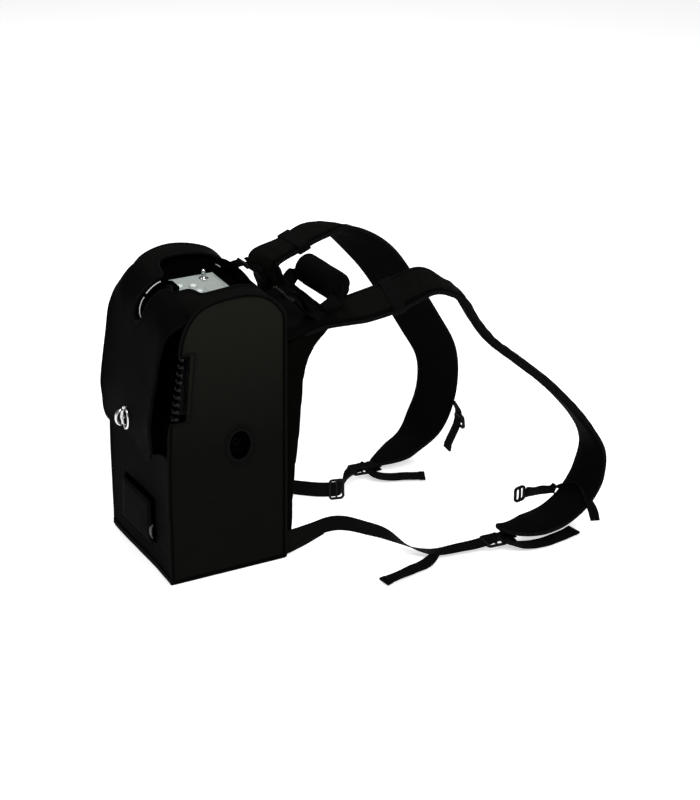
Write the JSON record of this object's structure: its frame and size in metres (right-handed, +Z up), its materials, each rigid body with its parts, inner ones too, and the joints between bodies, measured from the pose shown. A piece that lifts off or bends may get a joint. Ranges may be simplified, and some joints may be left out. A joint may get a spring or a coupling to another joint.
{
  "type": "oxygen concentrator",
  "caption": "Portable oxygen concentrator in a wearable backpack case, with a lifting front flap, window over the controls, grab handle and padded shoulder straps.",
  "frame": {"origin": "centre of the case's underside, on the ground", "axes": "+Z up; the flap and turn-lock face -Y, the shoulder straps reach towards +Y; +X is the side with the round port"},
  "size_m": [0.3991, 0.7037, 0.442],
  "materials": {
    "case_nylon": "fine woven ballistic nylon, black",
    "flap_fabric": "smooth coated fabric, matte black",
    "binding_tape": "narrow woven binding, black",
    "webbing": "ribbed nylon webbing, black",
    "pad_fabric": "padded nylon with mesh lining, black",
    "buckle_plastic": "moulded acetal, black",
    "nickel": "bright nickel plate",
    "shell_plastic": "glossy black moulding",
    "panel_silver": "grey-green silver label, satin",
    "foot_rubber": "matte rubber",
    "zinc": "zinc plated steel",
    "cast_aluminium": "satin cast aluminium",
    "inner_plastic": "matte dark moulding",
    "board_green": "glass-fibre board, green",
    "filter_foam": "open-cell foam",
    "hose": "silicone hose"
  },
  "bodies": {
    "case": {"side_panel_right": "case_nylon", "side_panel_left": "case_nylon", "front_panel": "case_nylon", "base_panel": "case_nylon", "back_panel": "case_nylon", "top_cover": "case_nylon", "edge_piping": "binding_tape", "opening_bindings": "binding_tape", "lock_base": "nickel", "back_pad": "pad_fabric", "strap_yoke": "pad_fabric", "fixed_webbing": "webbing", "lifter_buckles": "buckle_plastic", "housing_front": "shell_plastic", "housing_rear": "shell_plastic", "base_tray": "shell_plastic", "top_deck": "shell_plastic", "feet": "foot_rubber", "carry_handle": "shell_plastic", "nose_rib": "shell_plastic", "control_panel": "panel_silver", "outlet_nozzle": "nickel", "power_inlet": "shell_plastic", "louvres": "shell_plastic", "shell_screws": "zinc", "battery_pack": "inner_plastic", "chassis_plate": "cast_aluminium", "compressor": "cast_aluminium", "sieve_beds": "cast_aluminium", "product_tank": "cast_aluminium", "valve_manifold": "inner_plastic", "solenoid_valves": "inner_plastic", "circuit_board": "board_green", "fan_frame": "inner_plastic", "intake_filter": "filter_foam", "tubing": "hose"},
    "flap": {"flap": "flap_fabric", "lock_eyelet": "nickel"},
    "lock_knob": {"lock_knob": "nickel"},
    "access_cover": {"access_cover": "flap_fabric", "access_tab": "inner_plastic"},
    "button_left": {"button_left": "nickel"},
    "button_centre": {"button_centre": "nickel"},
    "button_right": {"button_right": "nickel"},
    "fan": {"fan_rotor": "inner_plastic"},
    "crankshaft": {"crankshaft": "zinc"},
    "grab_handle": {"grab_handle": "pad_fabric"},
    "strap_right": {"strap_pad_right": "pad_fabric", "keeper_right": "binding_tape", "lower_webbing_right": "webbing", "sternum_webbing_right": "webbing", "sternum_buckle_right": "buckle_plastic"},
    "strap_left": {"strap_pad_left": "pad_fabric", "keeper_left": "binding_tape", "lower_webbing_left": "webbing", "tri_glide_left": "buckle_plastic", "sternum_webbing_left": "webbing", "sternum_buckle_left": "buckle_plastic"},
    "ladder_right": {"ladder_lock_right": "buckle_plastic"},
    "ladder_left": {"ladder_lock_left": "buckle_plastic"}
  },
  "joints": [
    {"name": "flap_lift", "type": "hinge", "parent": "case", "child": "flap", "pos_m": [0, -0.045, 0.421], "axis": [-1, 0, 0], "range_deg": [0, 150]},
    {"name": "lock_turn", "type": "hinge", "parent": "case", "child": "lock_knob", "pos_m": [0, -0.11, 0.231], "axis": [0, -1, 0], "range_deg": [0, 90]},
    {"name": "access_cover_open", "type": "hinge", "parent": "case", "child": "access_cover", "pos_m": [-0.0575, -0.088, 0.0755], "axis": [0, 0, -1], "range_deg": [0, 110]},
    {"name": "button_left_press", "type": "slide", "parent": "case", "child": "button_left", "axis": [0, 0, -1], "range_m": [0, 0.001]},
    {"name": "button_centre_press", "type": "slide", "parent": "case", "child": "button_centre", "axis": [0, 0, -1], "range_m": [0, 0.001]},
    {"name": "button_right_press", "type": "slide", "parent": "case", "child": "button_right", "axis": [0, 0, -1], "range_m": [0, 0.001]},
    {"name": "fan_spin", "type": "hinge", "parent": "case", "child": "fan", "pos_m": [0, 0.084, 0.12], "axis": [0, -1, 0], "continuous": true},
    {"name": "crankshaft_spin", "type": "hinge", "parent": "case", "child": "crankshaft", "pos_m": [0, 0, 0.158], "axis": [0, -1, 0], "continuous": true},
    {"name": "grab_handle_tilt", "type": "hinge", "parent": "case", "child": "grab_handle", "pos_m": [0.011, 0.205, 0.392], "axis": [0.9976, 0.0698, 0], "range_deg": [-30, 30]},
    {"name": "strap_right_swing", "type": "hinge", "parent": "case", "child": "strap_right", "pos_m": [0.057, 0.206, 0.35], "axis": [0, 0, 1], "range_deg": [-12, 12]},
    {"name": "strap_left_swing", "type": "hinge", "parent": "case", "child": "strap_left", "pos_m": [-0.076, 0.158, 0.37], "axis": [0, 0, 1], "range_deg": [-12, 12]},
    {"name": "ladder_right_tilt", "type": "hinge", "parent": "strap_right", "child": "ladder_right", "pos_m": [0.222, 0.396, 0.013], "axis": [0.9976, -0.0698, 0], "range_deg": [-15, 15]},
    {"name": "ladder_left_tilt", "type": "hinge", "parent": "strap_left", "child": "ladder_left", "pos_m": [-0.077, 0.326, 0.013], "axis": [0.9945, -0.1045, 0], "range_deg": [-15, 15]}
  ]
}
